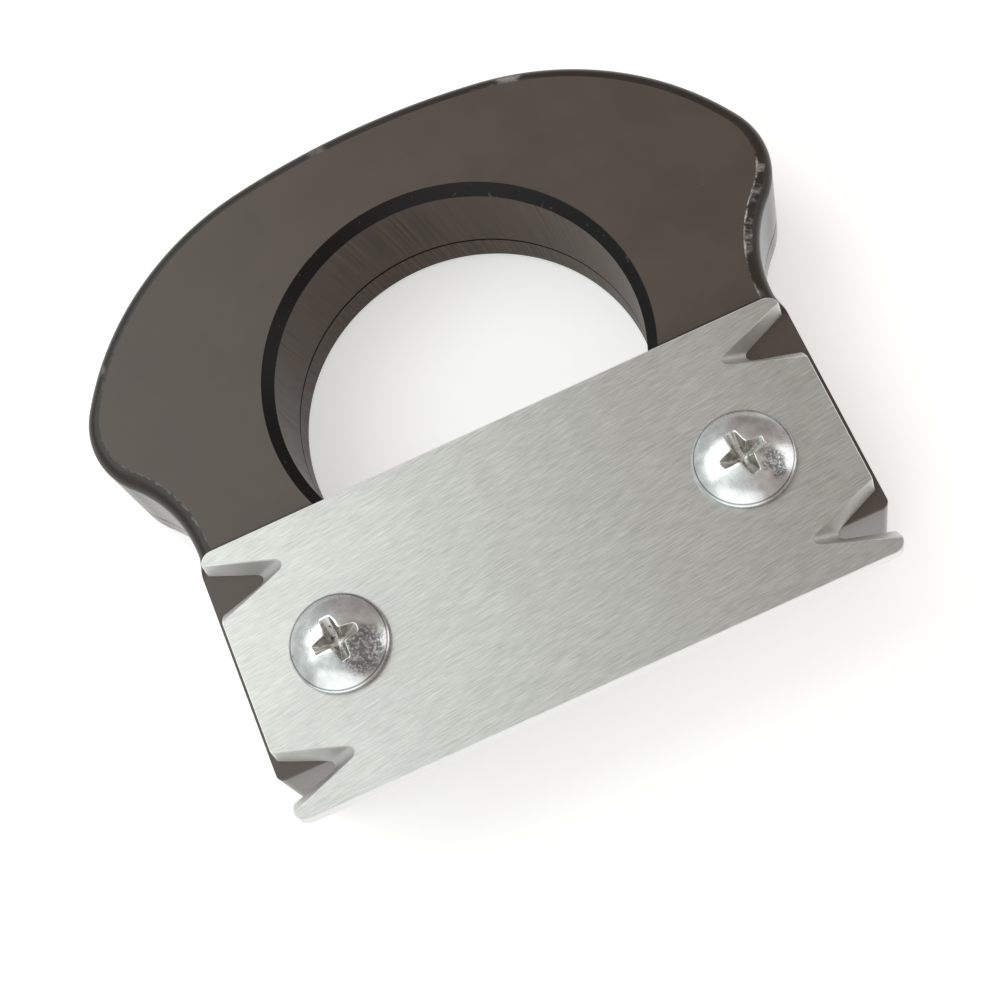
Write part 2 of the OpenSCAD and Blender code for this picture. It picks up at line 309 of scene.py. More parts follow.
class Skin:
    """Grids and caps gathered into one closed mesh."""

    def __init__(self):
        self.points, self.normals, self.faces, self.slots, self.coords = [], [], [], [], []
        self.count = 0

    def grid(self, rings, slots, first=None, last=None, v=None):
        """Adds rings (rings by points by 3) as bands of quads, closed round the loop. A normal is the cross
        product of the differences along and across the rings; first and last replace it on the end rings.
        The map runs along the loop and down the rings, in metres: v is the way down to each ring, or else the
        mean distance. slots is the material of each band."""
        count, around = rings.shape[:2]
        across = np.roll(rings, -1, 1) - np.roll(rings, 1, 1)
        along = join(rings[1:2] - rings[:1], rings[2:] - rings[:-2], rings[-1:] - rings[-2:-1])
        normal = np.cross(along, across)
        normal /= np.maximum(np.linalg.norm(normal, axis=2), 1e-15)[:, :, None]
        if first is not None:
            normal[0] = first
        if last is not None:
            normal[-1] = last
        index = self.count + np.arange(count * around).reshape(count, around)
        ahead = np.roll(index, -1, 1)
        quads = np.stack([index[:-1], index[1:], ahead[1:], ahead[:-1]], 2).reshape(-1, 4)
        u = running(np.linalg.norm(np.roll(rings[-1], -1, 0) - rings[-1], axis=1))
        if v is None:
            v = running(np.linalg.norm(np.diff(rings, axis=0), axis=2).mean(1))
        u0, u1 = (np.broadcast_to(x, (count - 1, around)) for x in (u[:-1], u[1:]))
        v0, v1 = (np.broadcast_to(x[:, None], (count - 1, around)) for x in (v[:-1], v[1:]))
        self.coords.append(np.stack([u0, v0, u0, v1, u1, v1, u1, v0], 2).reshape(-1, 2))
        self.slots.append(np.repeat(np.broadcast_to(slots, count - 1), around))
        self.faces += quads.tolist()
        self.points.append(rings.reshape(-1, 3))
        self.normals.append(normal.reshape(-1, 3))
        self.count += count * around
        return index

    def cap(self, loops, up, slot):
        """Fills the flat face between an outline and its holes, given as rows of point numbers: the
        constrained Delaunay triangles of their points that lie in the outline alone. Each row is taken
        anticlockwise."""
        points = np.concatenate(self.points)
        flat = [points[loop, :2] / MM for loop in loops]
        start = np.cumsum([0] + [len(loop) for loop in loops])
        rows = []
        for row, p in enumerate(flat):
            area = np.sum(p[:, 0] * np.roll(p[:, 1], -1) - np.roll(p[:, 0], -1) * p[:, 1])
            rows.append(np.arange(start[row], start[row + 1])[:: 1 if area > 0 else -1].tolist())
        made = delaunay_2d_cdt([Vector(p) for p in np.concatenate(flat).tolist()], [], rows, 1, 1e-7)
        tri = np.array([corners for corners, inside in zip(made[2], made[5]) if inside == [0]])
        tri = np.concatenate(loops)[np.array([same[0] for same in made[3]])[tri]]
        a, b, c = (points[tri[:, k], :2] for k in range(3))
        turned = ((b - a)[:, 0] * (c - a)[:, 1] > (b - a)[:, 1] * (c - a)[:, 0]) != up
        tri[turned] = tri[turned][:, ::-1]
        self.flat_faces(tri, slot)

    def pole(self, ring, place, normal, slot):
        """Closes a ring of point numbers with triangles that meet in one point."""
        tri = np.stack([ring, np.roll(ring, -1), np.full(len(ring), self.count)], 1)
        self.points.append(np.array([place]))
        self.normals.append(np.array([normal]))
        self.count += 1
        self.flat_faces(tri, slot)

    def flat_faces(self, tri, slot):
        """Adds triangles that are mapped by their X and Y."""
        self.faces += tri.tolist()
        self.slots.append(np.full(len(tri), slot))
        self.coords.append(np.concatenate(self.points)[tri.ravel(), :2])

    def make(self, name, materials):
        """The mesh as an object at the origin, with its own map and normals."""
        mesh = bpy.data.meshes.new(name)
        mesh.from_pydata(np.concatenate(self.points).tolist(), [], self.faces)
        for material in materials:
            mesh.materials.append(material)
        mesh.polygons.foreach_set("material_index", np.concatenate(self.slots).astype(np.int32))
        mesh.polygons.foreach_set("use_smooth", np.ones(len(self.faces), bool))
        layer = mesh.uv_layers.new(name="surface")
        layer.uv.foreach_set("vector", np.concatenate(self.coords).astype(np.float32).ravel())
        mesh.normals_split_custom_set_from_vertices(np.concatenate(self.normals).tolist())
        mesh.update()
        mesh.validate()
        return place_object(name, mesh)


class Value:
    """An output of a node. Sums, products and the methods below add nodes to its tree."""

    def __init__(self, tree, output):
        self.tree, self.output = tree, output

    def maths(self, operation, *others):
        return put(self.tree, "Math", 0, dict(enumerate((self, *others))), operation=operation)

    __add__ = __radd__ = partialmethod(maths, "ADD")
    __mul__ = __rmul__ = partialmethod(maths, "MULTIPLY")
    __sub__ = partialmethod(maths, "SUBTRACT")
    __abs__ = partialmethod(maths, "ABSOLUTE")
    most = partialmethod(maths, "MAXIMUM")

    def clamped(self):
        return put(self.tree, "Clamp", 0, {0: self})

    def ramp(self, low, high, to_low=0.0, to_high=1.0, kind="SMOOTHSTEP"):
        """Carries low..high over to to_low..to_high, clamped."""
        given = {0: self, 1: low, 2: high, 3: to_low, 4: to_high}
        return put(self.tree, "MapRange", 0, given, interpolation_type=kind)

    def blend(self, a, b):
        """Colour a where this is 0 and b where it is 1."""
        return put(self.tree, "Mix", 2, {0: self, 6: a, 7: b}, data_type="RGBA")

    def shades(self, colour, low, high):
        """The colour times low where this is 0 and times high where it is 1."""
        return self.blend(times(colour, low), times(colour, high))

    def axis(self, number):
        return put(self.tree, "SeparateXYZ", number, {0: self})

    def far(self, point):
        """Distance of this vector from a point."""
        return put(self.tree, "VectorMath", "Value", {0: self, 1: point}, operation="DISTANCE")

    def stretched(self, factors):
        return put(self.tree, "VectorMath", 0, {0: self, 1: factors}, operation="MULTIPLY")

    def turned(self, degrees):
        """This vector turned about Z."""
        given = {"Vector": self, "Rotation": (0.0, 0.0, math.radians(degrees))}
        return put(self.tree, "Mapping", 0, given)

    def noise(self, scale, detail=2.0, rough=0.5):
        """Cloudy noise with scale cells per metre."""
        given = {"Vector": self, "Scale": scale, "Detail": detail, "Roughness": rough}
        return put(self.tree, "TexNoise", "Fac", given)

    def lines(self, along, across):
        """Fine lines, with so many cells per metre on this vector's first and second axis."""
        given = {"Vector": self, "Stretch": (along, across, 1.0)}
        return put(self.tree, "Group", 0, given, node_tree=bpy.data.node_groups["cut_lines"])

    def specks(self, scale, amount):
        given = {"Vector": self, "Scale": scale, "Amount": amount}
        return put(self.tree, "Group", 0, given, node_tree=bpy.data.node_groups["specks"])


def put(tree, kind, out=None, inputs=None, **settings):
    """Adds a shader node, applies its settings, links or sets its inputs, and gives one of its outputs."""
    node = tree.nodes.new("ShaderNode" + kind)
    for key, value in settings.items():
        setattr(node, key, value)
    for key, value in (inputs or {}).items():
        target = node.inputs[key]
        if isinstance(value, Value):
            tree.links.new(value.output, target)
        elif hasattr(target.default_value, "__len__") and len(target.default_value) == len(value) + 1:
            target.default_value = (*value, 1.0)
        else:
            target.default_value = value
    return None if out is None else Value(tree, node.outputs[out])


def times(colour, share):
    return tuple(c * share for c in colour)


def group(name, inputs, build):
    """A shader node group with named inputs, whose one output is what build makes of them."""
    tree = bpy.data.node_groups.new(name, "ShaderNodeTree")
    for label, kind, default in inputs:
        tree.interface.new_socket(label, in_out="INPUT", socket_type=kind).default_value = default
    tree.interface.new_socket("Share", in_out="OUTPUT", socket_type="NodeSocketFloat")
    given = tree.nodes.new("NodeGroupInput").outputs
    made = build(*(Value(tree, given[label]) for label, _, _ in inputs))
    tree.links.new(made.output, tree.nodes.new("NodeGroupOutput").inputs[0])


def cut_lines(vector, stretch):
    """Long fine lines: noise on coordinates stretched by Stretch, with a finer layer on top."""
    wide = vector.stretched(stretch)
    total = 0.45 * wide.stretched((1.7, 2.9, 2.9)).noise(1.0) + 0.55 * wide.noise(1.0, 3.0, 0.6)
    return total.ramp(0.25, 0.75, kind="LINEAR")


def sparse_specks(vector, scale, amount):
    """Sparse specks: the peaks of a fine noise, where Amount is the share that shows."""
    return (14.0 * (vector.noise(scale, 3.0, 0.6) + 0.5 * amount - 0.75)).clamped()


def material(name):
    """An empty material, with object coordinates and the piece's own map, both in metres."""
    made = bpy.data.materials.new(name)
    made.use_nodes = True
    made.node_tree.nodes.clear()
    where = made.node_tree.nodes.new("ShaderNodeTexCoord").outputs
    return made, *(Value(made.node_tree, where[kind]) for kind in ("Object", "UV"))


def finish(made, colour, roughness, height, depth, **plain):
    """Ends a material in a Principled BSDF with a bump of the given depth in metres."""
    tree = made.node_tree
    bump = put(tree, "Bump", 0, {"Strength": 1.0, "Distance": depth, "Height": height})
    given = {"Base Color": colour, "Roughness": roughness, "Normal": bump}
    given.update((key.replace("_", " "), value) for key, value in plain.items())
    shader = put(tree, "BsdfPrincipled", 0, given)
    put(tree, "OutputMaterial", None, {"Surface": shader})
    return made


def face_plastic(props):
    """Satin sheet face: cloudy gloss, a fine grain, faint scuffs, and painted shadow along the blade's upper
    edge.
    """
    made, place, _ = material("handle_face")
    cloud = place.noise(140.0, 3.0, 0.6)
    scuff = place.lines(160.0, 2600.0)
    colour = cloud.ramp(0.3, 0.7).shades(props.colour, 0.93, 1.07)
    colour = place.specks(700.0, 0.05).blend(colour, times(props.colour, 2.2))
    # Painted shadow: a dark band up to about 1.2 mm above the blade's upper edge, standing in for the blade's
    # cast shadow on the face
    above = place.axis(1) - BLADE_HIGH.y
    blade_shadow = above.ramp(-0.3 * MM, 0.0) * above.ramp(0.95 * MM, 1.25 * MM, 0.8, 0.0)
    blade_shadow *= place.axis(2).ramp(FACE_Z - 2.0 * MM, FACE_Z - 1.0 * MM)
    colour = blade_shadow.blend(colour, props.rim_and_shade_colour)
    rough = cloud.ramp(0.25, 0.75, 0.33, 0.37) + 0.04 * scuff
    return finish(made, colour, rough, 0.3 * scuff + place.noise(5200.0), 3.5 * MICRON)


def sawn(place, run, props):
    """Colour, roughness and relief of a smooth sawn wall with faint lines across it, and the foot painted
    paler, a painted reflection of the pale floor.
    """
    saw = run.lines(1300.0, 45.0)
    colour = saw.ramp(0.35, 0.75).shades(props.colour, 0.97, 1.06)
    # Painted light: the foot is blended towards the pale cut colour, standing in for the floor's light it
    # reflects
    foot = place.axis(1).ramp(FOOT_Y + 0.1 * MM, FOOT_Y + 0.6 * MM, 0.35, 0.0)
    return foot.blend(colour, props.cut_and_painted_light_colour), 0.10 * place.noise(160.0) + 0.19, saw


def edge_plastic(props):
    """Rounded outer edge: smooth and dark, partly the plastic's own tone and partly painted shade, with a
    strip along the face that a coarse cutter left. The strip has pale facets and chatter in patches, most of
    all on the right lobe and neck, and a torn burr along the face. Beside the blade, where the rounding has
    run out, it is the sawn wall."""
    made, place, run = material("handle_edge")
    x, y = place.axis(0), place.axis(1)
    chatter, facet = run.lines(2000.0, 420.0), run.lines(330.0, 90.0)
    blotch = run.noise(1100.0, 3.0, 0.6)
    above = y.ramp(-6.2 * MM, -3.4 * MM)
    lobe = x.ramp(26.0 * MM, 36.0 * MM) * y.ramp(10.5 * MM, 15.0 * MM, 1.0, 0.0)
    patch = (run.noise(150.0, 1.0) + 0.24 * lobe).ramp(0.61, 0.71) * above
    ragged = run.axis(1) + 0.9 * MM * (blotch - 0.5)
    strip = patch * ragged.ramp(1.0 * MM, 1.28 * MM, 1.0, 0.0)
    ends = abs(y - 8.2 * MM)
    cut = 0.9 * facet + 0.35 * (chatter + blotch) + ends.ramp(1.0 * MM, 10.0 * MM, -0.10, 0.24)
    pale = strip * cut.ramp(0.68, 1.02)
    wall = y.ramp(-9.5 * MM, -6.0 * MM, 1.0, 0.0)
    wall_colour, wall_rough, saw = sawn(place, run, props)
    # The rounding's dark tone, 0.30 to 0.54 of the plastic, is partly painted shade
    smooth = wall.blend(place.noise(220.0).shades(props.colour, 0.30, 0.54), wall_colour)
    worked = pale.blend(times(props.colour, 0.35), props.cut_and_painted_light_colour)
    torn = run.noise(900.0, 4.0, 0.7).ramp(0.38, 0.64)
    brink = torn * ragged.ramp(0.12 * MM, 0.26 * MM, 1.0, 0.0)
    here = run.noise(45.0).ramp(0.50, 0.64, 0.0, 0.5).most(y.ramp(9.0 * MM, 17.0 * MM, 1.0, 0.0))
    burr = brink * here * above * (0.72 * patch + 0.28)
    colour = burr.blend(strip.blend(smooth, worked), props.burr_colour)
    rough = 0.24 * strip + 0.30 + wall * (wall_rough - 0.30)
    height = 0.5 * burr + chatter * strip + 0.15 * saw * wall
    return finish(made, colour, rough, height, 40.0 * MICRON, Specular_IOR_Level=0.35)


def rim_plastic(props):
    """Smoothly turned chamfer of the finger hole: near black, partly its own tone and partly painted shade,
    with faint turning lines and a few nicks.
    """
    made, place, run = material("hole_chamfer")
    turning, nicks = run.lines(60.0, 5200.0), place.specks(900.0, 0.22)
    colour = (0.6 * nicks).blend(props.rim_and_shade_colour, times(props.cut_and_painted_light_colour, 0.3))
    rough, height = 0.14 * turning + 0.34, turning - 0.6 * nicks
    return finish(made, colour, rough, height, 10.0 * MICRON, Specular_IOR_Level=0.2)


def wall_plastic(props):
    """Sawn outer wall of the handle, and the screws' holes."""
    made, place, run = material("handle_wall")
    return finish(made, *sawn(place, run, props), 6.0 * MICRON)


def bore_plastic(props):
    """Bored wall: streaks along the bore, a little askew and stronger in some stretches, ticks near the back,
    and painted shade that darkens the seam's gap."""
    made, place, run = material("bore_wall")
    z = place.axis(2)
    askew = put(made.node_tree, "CombineXYZ", 0, {0: run.axis(0) + 0.18 * z, 1: z})
    streak, patch = askew.lines(1000.0, 14.0), askew.noise(60.0, 1.0)
    stretch = patch.ramp(0.40, 0.66, 0.10, 0.66)
    ticks = askew.lines(1900.0, 40.0).ramp(0.30, 0.70, -0.5, 0.5)
    behind = z.ramp(SEAM_Z - 0.2 * MM, SEAM_Z + 0.2 * MM, 0.75, 0.12)
    share = (streak.ramp(0.34, 0.72, -0.5, 0.5) * stretch + 0.5 + ticks * behind).clamped()
    scored = askew.lines(1500.0, 9.0).ramp(0.22, 0.34, 0.75, 0.0) * patch.ramp(0.44, 0.58)
    colour = scored.blend(share.shades(props.colour, 0.75, 2.0), times(props.colour, 0.3))
    # Painted shade: the seam's gap darkened to near black, on top of the shade its groove casts
    seam = abs(z - SEAM_Z).ramp(0.13 * MM, 0.26 * MM, 0.95, 0.0)
    colour = seam.blend(colour, props.rim_and_shade_colour)
    rough = 0.16 * share + 0.42
    return finish(made, colour, rough, streak * stretch, 45.0 * MICRON, Specular_IOR_Level=0.12)


def brushed_steel(props):
    """Steel brushed nearly along its length: short fine strokes over coarser ones, at different slants."""
    made, place, _ = material("blade_face")
    fine, coarse = place.turned(-5.5).lines(380.0, 8000.0), place.turned(-8.0).lines(200.0, 4400.0)
    grain = 0.42 * coarse + 0.58 * fine
    colour = grain.ramp(0.25, 0.75).shades(props.colour, 0.78, 1.19)
    rough = 0.14 * grain + place.noise(70.0, 3.0, 0.6).ramp(0.3, 0.7, 0.27, 0.33)
    return finish(made, colour, rough, grain, 12.0 * MICRON, Metallic=1.0)


def ground_steel(props):
    """Ground edge: matt, with fine lines along the cut, and painted highlights: brighter towards the notches'
    mouths and bright along the plate's four outer sides."""
    made, place, run = material("blade_edge")
    grind = run.lines(160.0, 6000.0)
    along, across = abs(place.axis(0)), abs(place.axis(1) - BLADE_Y)
    end, side = BLADE_HIGH.x, BLADE_HIGH.y - BLADE_Y
    # Painted highlight: brighter towards the notches' mouths
    mouth_highlight = along.ramp(end - props.notch_depth + 3.5 * MM, end - 1.0 * MM, 0.0, 0.9)
    # Painted highlight along the plate's four outer sides
    outer = along.ramp(end - 0.3 * MM, end - 0.1 * MM).most(across.ramp(side - 0.3 * MM, side - 0.1 * MM))
    colour = place.noise(420.0, 3.0, 0.6).ramp(0.3, 0.7).shades(props.ground_colour, 0.92, 1.0)
    colour = mouth_highlight.blend(colour, props.edge_highlight_colour)
    colour = (0.35 * grind).blend(colour, times(props.ground_colour, 0.8))
    colour = outer.blend(colour, props.edge_highlight_colour)
    return finish(made, colour, 0.10 * grind + 0.50, grind, 6.0 * MICRON, Metallic=1.0)


def zinc(name, colour, worn, wear, gloss):
    """Zinc plating: cloudy crystals, and dull worn spots where the plating has been rubbed."""
    made, place, _ = material(name)
    cloud, spots = place.noise(900.0, 4.0, 0.65), place.specks(1500.0, wear)
    tint = (0.8 * spots).blend(cloud.ramp(0.3, 0.7).shades(colour, 0.86, 1.0), worn)
    rough = 0.25 * spots + cloud.ramp(0.3, 0.75, gloss, gloss + 0.10)
    return finish(made, tint, rough, cloud - 0.8 * spots, 6.0 * MICRON, Metallic=1.0)


def plated_head(name, props, centre, size):
    """Bright zinc with broad clouds and a few scratches, painted shade in the crease round its rim, and a
    mottled dark stain to the lower right of the recess: crystals that show where a warped distance from the
    stain's middle is short."""
    made, place, _ = material(name)
    broad, crystals = place.noise(420.0, 3.0, 0.6), place.noise(3100.0, 3.0, 0.6)
    middle = (centre[0] + 2.7 * MM, centre[1] - 2.3 * MM, BLADE_Z + 2.0 * MM)
    warped = place.far(middle) + 3.0 * MM * (broad - 0.5)
    stain = warped.ramp(0.55 * size, size, 1.0, 0.0) * crystals.ramp(0.33, 0.58)
    tint = broad.ramp(0.32, 0.68).shades(props.colour, 0.80, 1.06)
    tint = place.specks(1500.0, 0.10).blend(tint, times(props.colour, 0.4))
    tint = (0.8 * stain).blend(tint, props.wear_and_shade_colour)
    out = place.stretched((1.0, 1.0, 0.0)).far((*centre, 0.0))
    # Painted shade: a dark line in the crease between the dome and the rim band
    crease = abs(out - (props.head_radius - 0.26 * MM)).ramp(0.03 * MM, 0.12 * MM, 0.75, 0.0)
    tint = crease.blend(tint, props.wear_and_shade_colour)
    rough = 0.12 * stain + broad.ramp(0.3, 0.7, 0.20, 0.30)
    height = crystals + 0.3 * place.lines(500.0, 3800.0) - 1.5 * stain
    return finish(made, tint, rough, height, 6.0 * MICRON, Metallic=1.0)


def handle_outline(props):
    """Closed outline of the handle, anticlockwise: a flat foot, a concave arc at each neck, and lobe,
    shoulder and crown arcs that each touch the next one. Also the height of the necks' deepest points and the
    hole's centre."""
    hole = np.array([0.0, FOOT_Y + props.hole_rise])
    crown = np.array([0.0, CROWN_Y - props.crown_radius])
    lobe = np.array([props.width / 2 - props.lobe_radius, hole[1] + props.lobe_rise])
    far = np.linalg.norm(lobe - crown)
    unit = (lobe - crown) / far
    near, rest = props.crown_radius - props.shoulder_radius, props.shoulder_radius - props.lobe_radius
    reach = (near**2 - rest**2 + far**2) / (2 * far)
    shoulder = crown + reach * unit + math.sqrt(near**2 - reach**2) * np.array([-unit[1], unit[0]])
    neck_x = props.neck_width / 2 + props.neck_radius
    touch = props.lobe_radius + props.neck_radius
    neck = np.array([neck_x, lobe[1] - math.sqrt(touch**2 - (neck_x - lobe[0]) ** 2)])
    base_x = props.neck_width / 2 + props.base_step
    corner_y = neck[1] - math.sqrt(props.neck_radius**2 - (neck_x - base_x) ** 2)
    foot = np.array([base_x - props.foot_radius, FOOT_Y + props.foot_radius])
    entry = heading((base_x - neck_x, corner_y - neck[1])) + 2 * math.pi
    to_shoulder, to_crown = heading(lobe - shoulder), heading(shoulder - crown)
    step = OUTLINE_STEP
    corner_blur = 2.5 * MM
    loop = mirrored(join(
        line((0.0, FOOT_Y), (foot[0], FOOT_Y), step),
        arc(foot, props.foot_radius, -math.pi / 2, 0.0, step),
        line((base_x, foot[1]), (base_x, corner_y), step),
        arc(neck, props.neck_radius, entry, heading(lobe - neck), step),
        arc(lobe, props.lobe_radius, heading(neck - lobe), to_shoulder, step),
        arc(shoulder, props.shoulder_radius, to_shoulder, to_crown, step),
        arc(crown, props.crown_radius, to_crown, math.pi / 2, step),
        [[0.0, CROWN_Y]],
    ))
    off_corner = smooth_step(np.abs(loop[:, 1] - corner_y), 0.0, corner_blur)[:, None]
    return smoothed(loop) * (1.0 - off_corner) + loop * off_corner, neck[1], hole


def rounded_edge(props, loop, neck_y):
    """Inset and depth of the rounded edge's rings, and the way down to them: inset R (1 - sin a) and depth
    R (1 - cos a), with a from 0 to 90 degrees. Below the necks' deepest points the inset lies on circles of
    radius runout + R (1 - sin a) about an upright axis, until only a small broken edge is left, a quarter
    circle of its own radius."""
    turn = np.radians(np.linspace(0.0, 90.0, 13))
    full, deep = (props.edge_radius * (1 - wave(turn))[:, None] for wave in (np.sin, np.cos))
    drop = neck_y - loop[:, 1]
    axis_x = props.neck_width / 2 + props.runout
    left = np.abs(loop[:, 0]) - axis_x + np.sqrt(np.maximum((props.runout + full) ** 2 - drop**2, 0.0))
    inset = np.where(drop > 0.0, left, full)
    side = smooth_step(loop[:, 1], FOOT_Y + 0.2 * MM, FOOT_Y + props.foot_radius)
    broken = props.foot_break + side * (props.side_break - props.foot_break)
    rest = np.maximum(broken - deep, 0.0)
    return np.maximum(inset, broken - np.sqrt(broken**2 - rest**2)), deep[:, 0], props.edge_radius * turn


FACE, EDGE, WALL, RIM, BORE = range(5)
WALL_BANDS = [EDGE] * 12 + [WALL] * 6
BORE_BANDS = [RIM] * 7 + [BORE] * 6


class TRIMMER_OT_handle(bpy.types.Operator):
    """Builds the handle's two layers from their outline, finger hole and screw holes"""

    bl_idname = "trimmer.handle"
    bl_label = "Handle"

    def layer(self, name, node, face_z, inwards, materials):
        """One layer, from its outer face to the seam. A height is face_z plus inwards, 1 or -1, times the
        depth. On the back layer it rises with depth, so that layer's rings are taken in reverse."""
        scene = bpy.context.scene
        props, screws, nuts = scene.trimmer_handle, scene.trimmer_screws, scene.trimmer_nuts
        outline, neck_y, hole = handle_outline(props)
        depth = abs(SEAM_Z - face_z)
        order = slice(None, None, -inwards)
        skin = Skin()
        foot_in, foot_deep = seam_foot(depth, props.seam_break, props.seam_gap, props.seam_depth)
        inset, deep, way = rounded_edge(props, outline, neck_y)
        inset = join(inset, np.broadcast_to(foot_in[:, None], (len(foot_in), len(outline))))
        heights = face_z + inwards * join(deep, foot_deep)
        walls = lift(outline - inset[:, :, None] * outward(outline), heights)
        way = join(way, way[-1] + foot_deep - deep[-1])
        loops = [skin.grid(walls[order], WALL_BANDS[order], UP, DOWN, way[order])]
        inset, deep = chamfered_wall(props.hole_chamfer, props.edge_round)
        radii = props.hole_diameter / 2 + join(inset, foot_in)
        heights = face_z + inwards * join(deep, foot_deep)
        bore = round_hole(hole, radii, heights, BORE_POINTS)
        loops.append(skin.grid(bore[order], BORE_BANDS[order], UP, DOWN))
        blind = []
        r = screws.hole_radius
        for side in (-1, 1):
            centre = np.array([side * screws.spacing / 2, BLADE_Y])
            if inwards < 0:
                brink, floor = HANDLE_BREAK, depth - nuts.pocket_depth
                drop = np.array([0.0, brink, floor])
                rings = round_hole(centre, [r + brink, r, r], face_z - drop, HOLE_POINTS)
                a = clockwise(HOLE_POINTS)
                flats = nuts.pocket_flats / 2 / np.cos((a + math.pi / 3) % (math.pi / 3) - math.pi / 6)
                hexagon = centre + flats[:, None] * circle(a)
                pocket = lift(np.stack([hexagon, hexagon]), [face_z - floor, SEAM_Z])
                loops.append(skin.grid(join(rings, pocket), WALL, UP, DOWN))
            else:
                floor = SEAM_Z - nuts.tip_room
                made = skin.grid(round_hole(centre, [r, r], [SEAM_Z, floor], BLIND_POINTS), WALL, UP, UP)
                skin.pole(made[-1][::-1], (*centre, floor), UP, WALL)
                blind.append(made)
        skin.cap([loop[0] for loop in loops + blind], True, FACE)
        skin.cap([loop[-1] for loop in loops], False, FACE)
        piece = skin.make(name, materials)
        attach(piece, "handle")
        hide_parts(node)

    def execute(self, context):
        plastics = (face_plastic, edge_plastic, wall_plastic, rim_plastic, bore_plastic)
        materials = [plastic(context.scene.trimmer_handle) for plastic in plastics]
        self.layer("handle_front_layer", "handle_front", FACE_Z, -1, materials)
        self.layer("handle_back_layer", "handle_back", 0.0, 1, materials)
        return {"FINISHED"}


def blade_outline(props, shift):
    """Closed outline of the blade, anticlockwise, at the depth where the notches have come out by shift:
    rounded corners, straight edges, and at each end two V notches with a round root. The root is a circle in
    the plane square to it, so on the flat it is an ellipse, longer by 1 / cos(rake). A flank is the ellipse's
    tangent at its own slope: from the front to the back, the lower flank's angle falls by the twist and the
    upper one's rises."""
    half, low, high = BLADE_HIGH.x, BLADE_LOW.y, BLADE_HIGH.y
    rake = math.atan2(props.notch_rake, BLADE_Z - BLADE_LOW.z)
    twist = props.notch_twist * shift / props.notch_rake
    round_x = props.notch_root / math.cos(rake)
    centre_x = half - props.notch_depth + shift + round_x
    slopes = [math.tan(props.notch_angle / 2 + turn) for turn in (-twist, twist)]
    grooves = [math.atan2(slope, math.cos(rake)) for slope in slopes]
    tips = [centre_x - round_x / math.sin(groove) for groove in grooves]
    a = np.linspace(1.5 * math.pi - grooves[0], 0.5 * math.pi + grooves[1], ROOT_POINTS)
    root = (centre_x, 0.0) + (round_x, props.notch_root) * circle(a)
    r = props.corner_radius
    lower, upper = low + props.notch_edge, high - props.notch_edge
    corner = arc((half - r, low + r), r, -math.pi / 2, 0.0, CORNER_STEP)

    def edge_to_flank(slope, tip):
        """The long edge from its middle, and its corner up to where a notch's flank cuts it."""
        def flank(x):
            return lower - (x - tip) * slope

        end = join(corner, [[half, low + r], [half, max(flank(half), low + r + 0.01 * MM)]])
        end = end[end[:, 1] <= flank(end[:, 0]) + 1e-9]
        return join([[0.0, low]], end, [[end[-1, 0], flank(end[-1, 0])]])

    start = edge_to_flank(slopes[0], tips[0])
    top = edge_to_flank(slopes[1], tips[1])[::-1] * (1.0, -1.0) + (0.0, low + high)
    below = [[half, lower + (half - tips[1]) * slopes[1]]]
    above = [[half, upper - (half - tips[0]) * slopes[0]]]
    return smoothed(mirrored(join(
        resample(start, EDGE_POINTS),
        resample(join(start[-1:], root + (0.0, lower), below), NOTCH_POINTS),
        resample(join(below, above), END_POINTS),
        resample(join(above, root + (0.0, upper), top[:1]), NOTCH_POINTS),
        resample(top, EDGE_POINTS),
        top[-1:],
    )))


class TRIMMER_OT_blade(bpy.types.Operator):
    """Builds the notched blade plate"""

    bl_idname = "trimmer.blade"
    bl_label = "Blade"

    def execute(self, context):
        props, screws = context.scene.trimmer_blade, context.scene.trimmer_screws
        thick = BLADE_Z - BLADE_LOW.z
        front, back = np.radians(np.linspace(0, 90, 5)), np.radians(np.linspace(90, 0, 3))
        inset = join(
            props.edge_round * (1 - np.sin(front)), np.zeros(3), props.back_round * (1 - np.sin(back)),
        )
        down = join(
            props.edge_round * (1 - np.cos(front)), thick * np.array([0.25, 0.5, 0.75]),
            thick - props.back_round * (1 - np.cos(back)),
        )
        flat = [blade_outline(props, props.notch_rake * d / thick) for d in down]
        loops = np.array([loop - gap * outward(loop) for loop, gap in zip(flat, inset)])
        skin = Skin()
        edges = [skin.grid(lift(loops, BLADE_Z - down), 1, UP, DOWN)]
        r, brink = screws.hole_radius, BLADE_BREAK
        for side in (-1, 1):
            centre, drop = (side * screws.spacing / 2, BLADE_Y), np.array([0.0, brink, thick])
            rings = round_hole(centre, [r + brink, r, r], BLADE_Z - drop, HOLE_POINTS)
            edges.append(skin.grid(rings, 1, UP, DOWN))
        skin.cap([loop[0] for loop in edges], True, 0)
        skin.cap([loop[-1] for loop in edges], False, 0)
        piece = skin.make("blade_plate", [brushed_steel(props), ground_steel(props)])
        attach(piece, "blade")
        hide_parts("blade")
        return {"FINISHED"}


# Recess: flare of its wings, their reach and half thickness at its floor, and its point's depth below that
RECESS_FLARE, RECESS_FOOT, RECESS_TIP = 0.15, (1.15 * MM, 0.40 * MM), 0.35 * MM
# Burr round the recess: its width, its rise over the dome, and the drop of its inner edge
BURR_WIDTH, BURR_RISE, BURR_LIP = 0.10 * MM, 0.03 * MM, 0.06 * MM
# Rim of the head: width and drop of its rounding, and the break of its lower edge
RIM_ROUND, RIM_DROP, RIM_BREAK = 0.16 * MM, 0.22 * MM, 0.12 * MM
# Shank: chamfer of its tip, share of the thread's depth where the thread has faded, and rings in one turn
TIP_CHAMFER, PLAIN_DEPTH, RINGS_PER_TURN = 0.55 * MM, 0.55, 12


